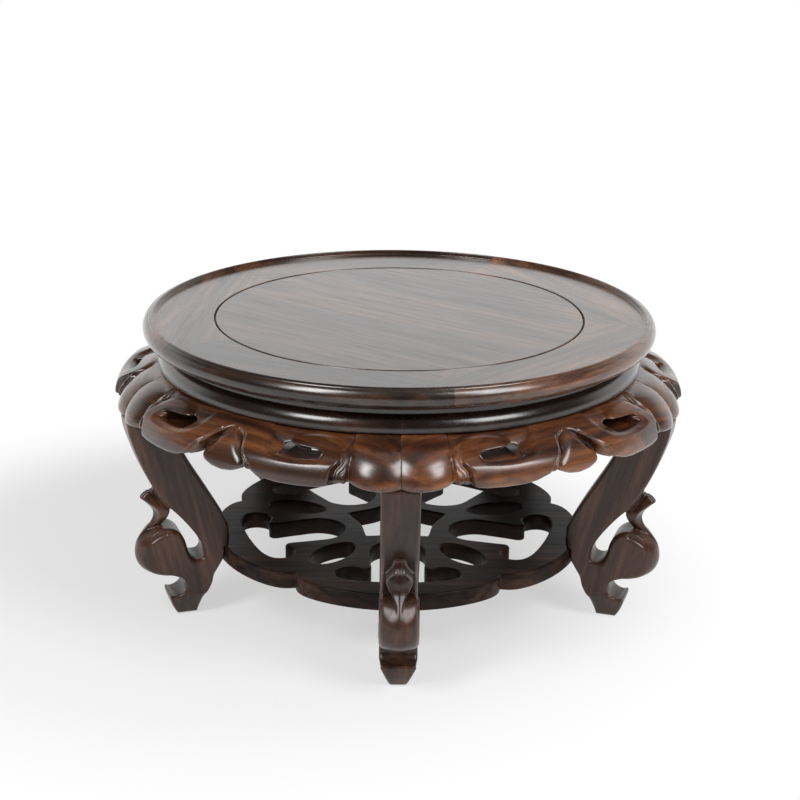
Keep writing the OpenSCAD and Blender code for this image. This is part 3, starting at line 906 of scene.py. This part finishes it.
def tray_levels():
    """How far each ring of the tray's round edges is drawn in, and its height."""
    profile = [(TRAY_EDGE * (1 - math.sin(a)), TRAY_EDGE * (1 - math.cos(a)))
               for a in np.linspace(0, math.pi / 2, TRAY_EDGE_STEPS + 1)]
    return [(d, Z_TRAY + h) for d, h in profile] + [(d, Z_TRAY_TOP - h) for d, h in profile[::-1]]


def tray_mesh():
    """Fretted plate with round edges."""
    bm = bmesh.new()
    ends = {0: [], 1: []}
    for loop in tray_loops():
        rings = []
        for draw_in, z in tray_levels():
            ring = inset(loop, draw_in)
            rings.append([bm.verts.new((x * MM, y * MM, z * MM)) for x, y in ring])
        for low, high in zip(rings[:-1], rings[1:]):
            for i in range(len(low)):
                k = (i + 1) % len(low)
                bm.faces.new((low[i], low[k], high[k], high[i]))
        for end, ring in ((0, rings[0]), (1, rings[-1])):
            ends[end] += [bm.edges.get((ring[i], ring[(i + 1) % len(ring)])) for i in range(len(ring))]
    for end in (0, 1):
        bmesh.ops.triangle_fill(bm, edges=ends[end], use_beauty=True, normal=(0, 0, 2 * end - 1))
    bm.normal_update()
    for face in bm.faces:
        face.smooth = abs(face.normal.z) < LEVEL_FACE
    mesh = bpy.data.meshes.new("tray_fret")
    bm.to_mesh(mesh)
    bm.free()
    return mesh


# Pieces

APRON_TONES = (1.2, 1.0, 1.1, 0.9, 0.8)
FRAME_TONES = (2.2, 2.4, 1.3, 1.7, 0.6)
HIDDEN_PIECES = {"panel_batten_1": PANEL_WOOD, "panel_batten_2": PANEL_WOOD, "frame_splines": FRAME_WOOD}
frame_mesh = turned_sector("top_frame_turned", frame_section())
waist_mesh = turned_sector("waist_turned", waist_section())
apron = apron_mesh()
leg = leg_mesh()
for k in range(SIDES):
    place(f"top_frame_piece_{k + 1}", frame_mesh, FRAME_JOINT_AZ + (k + 0.5) * PITCH, FRAME_WOOD,
          f"top_frame_{k + 1}", FRAME_TONES[k])
    place(f"waist_piece_{k + 1}", waist_mesh, (k + 0.5) * PITCH, WAIST_WOOD, f"waist_{k + 1}")
    place(f"apron_piece_{k + 1}", apron, (k + 0.5) * PITCH, APRON_WOOD, f"apron_{k + 1}",
          APRON_TONES[k])
    place(f"leg_piece_{k + 1}", leg, k * PITCH, LEG_WOOD, f"leg_{k + 1}")
place("centre_panel_piece", panel_mesh(), 90, PANEL_WOOD, "centre_panel")
place("tray_piece", tray_mesh(), 0, TRAY_WOOD, "tray")
for name, wood in HIDDEN_PIECES.items():
    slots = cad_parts[name].data.materials
    slots.clear()
    slots.append(wood)


# Floor, light and camera, in metres

FLOOR_R = 6.0
FLOOR_Z = -0.0002
FLOOR_STEPS = 96
FLOOR_WHITE = 0.72
# Near SHADE_CENTRE the seen floor is NEAR_WHITE white emission and the rest real shading, so the stand's
# shadow is painted lighter; the centre sits left of the stand, so the shadow is painted lighter on the
# right.
NEAR_FLOOR = 0.14
FAR_FLOOR = 0.245
NEAR_WHITE = 0.58
SHADE_CENTRE = (-0.075, 0.02, 0)

# The world's light, and the directions between which its backdrop starts behind and ends above
AMBIENT = 0.13
BACKDROP = 1.2
SURROUND = 0.06
BACKDROP_START = (-0.1, 0.5)
BACKDROP_END = (0.38, 0.6)

# Name, place, target, size and watts of each softbox
SOFTBOXES = (
    ("softbox_left", (-0.66, -0.72, 1.0), (0, 0, 0.1), (0.36, 0.75), 11.5),
    ("softbox_right", (0.72, -0.68, 0.98), (0, 0, 0.1), (0.5, 0.85), 12.5),
    ("softbox_top", (0.2, 0.1, 1.4), (0, 0, 0.09), (1.0, 0.8), 1.0),
)

# Camera fitted to the photo; angles are in degrees
IMAGE_PX = 800
FOCAL_PX = 1930
CENTRE_PX = 398.4
SENSOR_MM = 36.0
CAMERA_AWAY = 0.86243
CAMERA_HEIGHT = 0.38454
CAMERA_AZ = -0.7
CAMERA_PITCH = 18.63
CAMERA_ROLL = 0.7


def floor_material():
    """White floor: the stand's real shadow shows near it, painted lighter by mixed-in white emission that
    grows to plain white further out.
    """
    material = bpy.data.materials.new("floor_white")
    material.use_nodes = True
    tree = material.node_tree
    tree.nodes.clear()
    where = node_at(tree, "ShaderNodeNewGeometry")
    away = node_at(tree, "ShaderNodeVectorMath", operation="DISTANCE")
    away.inputs[1].default_value = SHADE_CENTRE
    tree.links.new(where.outputs["Position"], away.inputs[0])
    # Painted lightening of the shadow: white emission share grows with distance from SHADE_CENTRE
    whiteness = map_range(tree, away.outputs["Value"], NEAR_FLOOR, FAR_FLOOR, NEAR_WHITE, 1.0)
    path = node_at(tree, "ShaderNodeLightPath")
    seen = calculate(tree, "MAXIMUM", path.outputs["Is Camera Ray"], path.outputs["Is Transmission Ray"])
    seen = calculate(tree, "MAXIMUM", seen, path.outputs["Is Glossy Ray"])
    plain = node_at(tree, "ShaderNodeBsdfDiffuse")
    plain.inputs["Color"].default_value = (*grey(FLOOR_WHITE), 1)
    white = node_at(tree, "ShaderNodeEmission")
    mix = node_at(tree, "ShaderNodeMixShader")
    tree.links.new(calculate(tree, "MULTIPLY", whiteness, seen), mix.inputs["Fac"])
    tree.links.new(plain.outputs[0], mix.inputs[1])
    tree.links.new(white.outputs[0], mix.inputs[2])
    output = node_at(tree, "ShaderNodeOutputMaterial")
    tree.links.new(mix.outputs[0], output.inputs["Surface"])
    return material


def add_floor():
    """Round floor just below the soles."""
    points = [(FLOOR_R * math.cos(a), FLOOR_R * math.sin(a), FLOOR_Z)
              for a in np.linspace(0, 2 * math.pi, FLOOR_STEPS, False)]
    mesh = bpy.data.meshes.new("floor")
    mesh.from_pydata(points, [], [tuple(range(FLOOR_STEPS))])
    floor = bpy.data.objects.new("floor", mesh)
    bpy.context.scene.collection.objects.link(floor)
    mesh.materials.append(floor_material())


def add_world():
    """White to the camera, and to reflections a low bright backdrop behind the stand in a dimmer room."""
    world = bpy.data.worlds.new("studio")
    bpy.context.scene.world = world
    world.use_nodes = True
    tree = world.node_tree
    tree.nodes.clear()
    path = node_at(tree, "ShaderNodeLightPath")
    where = node_at(tree, "ShaderNodeTexCoord")
    axes = node_at(tree, "ShaderNodeSeparateXYZ")
    tree.links.new(where.outputs["Generated"], axes.inputs[0])
    behind = map_range(tree, axes.outputs["Y"], *BACKDROP_START)
    low = map_range(tree, axes.outputs["Z"], *BACKDROP_END, 1.0, 0.0)
    bright = calculate(tree, "MULTIPLY", behind, low)
    reflected = map_range(tree, bright, 0.0, 1.0, SURROUND, BACKDROP)
    fill = node_at(tree, "ShaderNodeMix", data_type="FLOAT")
    fill.inputs["A"].default_value = AMBIENT
    tree.links.new(path.outputs["Is Glossy Ray"], fill.inputs["Factor"])
    tree.links.new(reflected, fill.inputs["B"])
    seen = calculate(tree, "MAXIMUM", path.outputs["Is Camera Ray"], path.outputs["Is Transmission Ray"])
    strength = calculate(tree, "MAXIMUM", fill.outputs["Result"], seen)
    background = node_at(tree, "ShaderNodeBackground")
    tree.links.new(strength, background.inputs["Strength"])
    output = node_at(tree, "ShaderNodeOutputWorld")
    tree.links.new(background.outputs[0], output.inputs["Surface"])


def add_softbox(name, location, target, size, energy):
    """Rectangular lamp that faces its target and isn't seen itself."""
    lamp = bpy.data.lights.new(name, "AREA")
    lamp.shape = "RECTANGLE"
    lamp.size, lamp.size_y = size
    lamp.energy = energy
    softbox = bpy.data.objects.new(name, lamp)
    bpy.context.scene.collection.objects.link(softbox)
    softbox.location = location
    softbox.rotation_euler = (Vector(target) - Vector(location)).to_track_quat("-Z", "Y").to_euler()
    softbox.visible_camera = False


def add_camera():
    """Camera at the photo's angle."""
    lens = bpy.data.cameras.new("photo_view")
    lens.sensor_width = SENSOR_MM
    lens.lens = FOCAL_PX / IMAGE_PX * SENSOR_MM
    lens.shift_x = (IMAGE_PX / 2 - CENTRE_PX) / IMAGE_PX
    lens.clip_start = 0.01
    camera = bpy.data.objects.new("photo_view", lens)
    bpy.context.scene.collection.objects.link(camera)
    tilt = Matrix.Rotation(math.radians(90 - CAMERA_PITCH), 4, "X")
    roll = Matrix.Rotation(math.radians(CAMERA_ROLL), 4, "Z")
    orbit = Matrix.Rotation(math.radians(CAMERA_AZ), 4, "Z")
    camera.matrix_world = orbit @ Matrix.Translation((0, -CAMERA_AWAY, CAMERA_HEIGHT)) @ tilt @ roll
    bpy.context.scene.camera = camera


add_floor()
add_world()
for softbox in SOFTBOXES:
    add_softbox(*softbox)
add_camera()
bpy.context.scene.view_settings.view_transform = "Standard"
